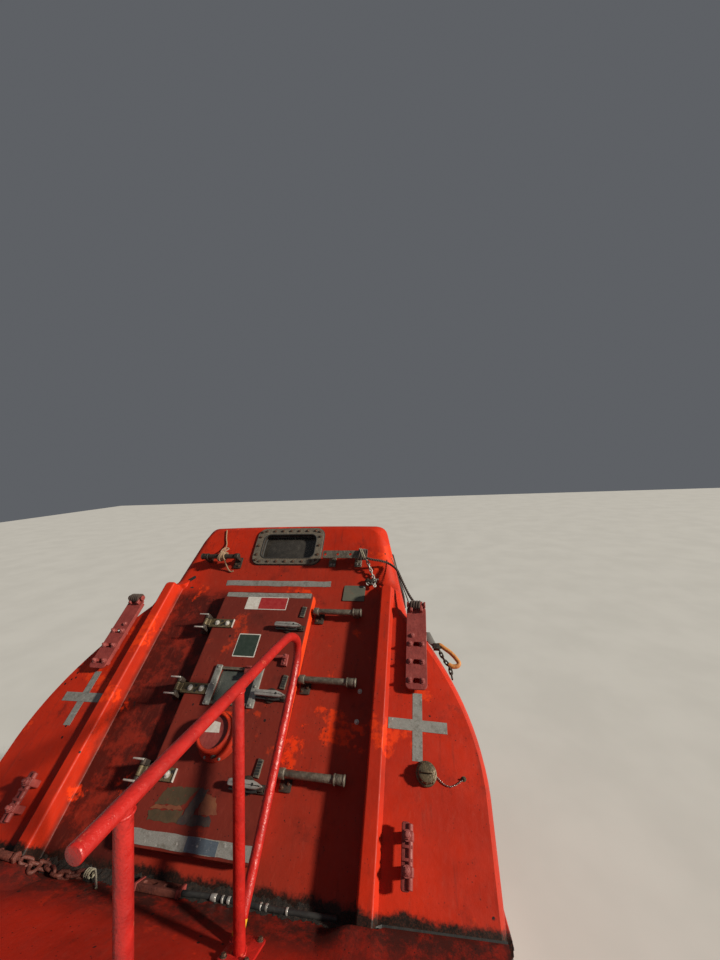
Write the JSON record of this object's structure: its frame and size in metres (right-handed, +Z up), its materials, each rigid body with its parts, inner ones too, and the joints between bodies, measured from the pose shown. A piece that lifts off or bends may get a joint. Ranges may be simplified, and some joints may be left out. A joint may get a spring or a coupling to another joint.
{
  "type": "enclosed free-fall lifeboat on its launching ramp",
  "caption": "Enclosed free-fall lifeboat, orange-red, stowed nose-down on an inclined steel launching ramp, with raked stern door, hatch, steering nozzle and propeller.",
  "frame": {"origin": "centre of the object's bounding box on the floor the ramp stands on", "axes": "+Y horizontally towards the bow, +X to starboard, +Z up; the boat itself is pitched 30 degrees nose-down about X"},
  "size_m": [2.804, 7.1278, 5.1747],
  "materials": {
    "canopy_paint": "weathered orange-red gelcoat, dull, with dirt in its corners",
    "hull_paint": "weathered orange-red gelcoat",
    "rubber_fender": "dull black rubber",
    "rail_paint": "thick bright red brush paint",
    "dark_red_steel": "dark red paint over steel",
    "stainless": "stained stainless steel",
    "grey_tube": "dull grey steel tube",
    "bronze": "dull dark bronze",
    "window_glass": "dark salt-stained acrylic",
    "grey_frame": "grey paint, worn",
    "seat_moulding": "moulded orange seats",
    "engine_paint": "green engine enamel",
    "ramp_paint": "off-white marine paint with rust",
    "slide_plastic": "dark sliding plastic",
    "reflective_tape": "worn retro-reflective tape",
    "sign_face": "blank sign face",
    "rope": "weathered rope",
    "sealant": "black sealant and dirt"
  },
  "bodies": {
    "boat_and_ramp": {"hull": "hull_paint", "canopy_stern": "canopy_paint", "canopy": "canopy_paint", "canopy_bow": "canopy_paint", "fender_belt": "rubber_fender", "runner_port": "hull_paint", "runner_starboard": "hull_paint", "skeg": "hull_paint", "engine_block": "engine_paint", "cabin_seating": "seat_moulding", "helm_console": "grey_frame", "handrail_starboard": "rail_paint", "handrail_port": "rail_paint", "release_hook": "dark_red_steel", "windscreen_pane_port": "window_glass", "windscreen_pane_starboard": "window_glass", "cupola_pane_port": "window_glass", "cupola_pane_starboard": "window_glass", "hinge_1": "stainless", "hinge_2": "stainless", "hinge_3": "stainless", "rung_1": "grey_tube", "rung_2": "grey_tube", "rung_3": "grey_tube", "top_step_starboard": "grey_tube", "top_step_port": "grey_tube", "lifting_link_port": "dark_red_steel", "lifting_link_starboard": "dark_red_steel", "grab_handle_port": "dark_red_steel", "grab_handle_starboard": "dark_red_steel", "filler_cap": "bronze", "aft_window_frame": "grey_frame", "aft_window_pane": "window_glass", "roof_rail_port": "rail_paint", "roof_rail_starboard": "rail_paint", "position_light": "grey_frame", "bow_fitting": "stainless", "ramp_girder_port": "ramp_paint", "ramp_girder_starboard": "ramp_paint", "ramp_legs_port": "ramp_paint", "ramp_legs_starboard": "ramp_paint", "slide_rail_port": "slide_plastic", "slide_rail_starboard": "slide_plastic", "ramp_cross_1": "ramp_paint", "ramp_cross_2": "ramp_paint", "ramp_cross_3": "ramp_paint", "ramp_cross_4": "ramp_paint", "ramp_rear_brace": "ramp_paint", "ramp_sill_1": "ramp_paint", "ramp_sill_2": "ramp_paint"},
    "door": {"stern_door": "canopy_paint", "door_pane": "window_glass", "door_dog_1": "stainless", "door_dog_2": "stainless", "door_dog_3": "stainless", "door_vent": "canopy_paint"},
    "hatch": {"roof_hatch_lid": "canopy_paint"},
    "nozzle": {"steering_nozzle": "dark_red_steel"},
    "screw": {"propeller": "bronze", "propeller_shaft": "stainless"}
  },
  "joints": [
    {"name": "door_hinge", "type": "hinge", "parent": "boat_and_ramp", "child": "door", "pos_m": [-0.4, -1.17016, 4.38821], "axis": [0, -0.7727, -0.6347], "range_deg": [0, 120]},
    {"name": "hatch_hinge", "type": "hinge", "parent": "boat_and_ramp", "child": "hatch", "pos_m": [0, 0.80504, 4.66983], "axis": [-1, 0, 0], "range_deg": [0, 110]},
    {"name": "nozzle_steer", "type": "hinge", "parent": "boat_and_ramp", "child": "nozzle", "pos_m": [0, -2.78892, 3.2449], "axis": [0, 0.5, 0.866], "range_deg": [-35, 35]},
    {"name": "screw_spin", "type": "hinge", "parent": "boat_and_ramp", "child": "screw", "pos_m": [0, -2.78892, 3.2449], "axis": [0, 0.866, -0.5], "continuous": true}
  ]
}
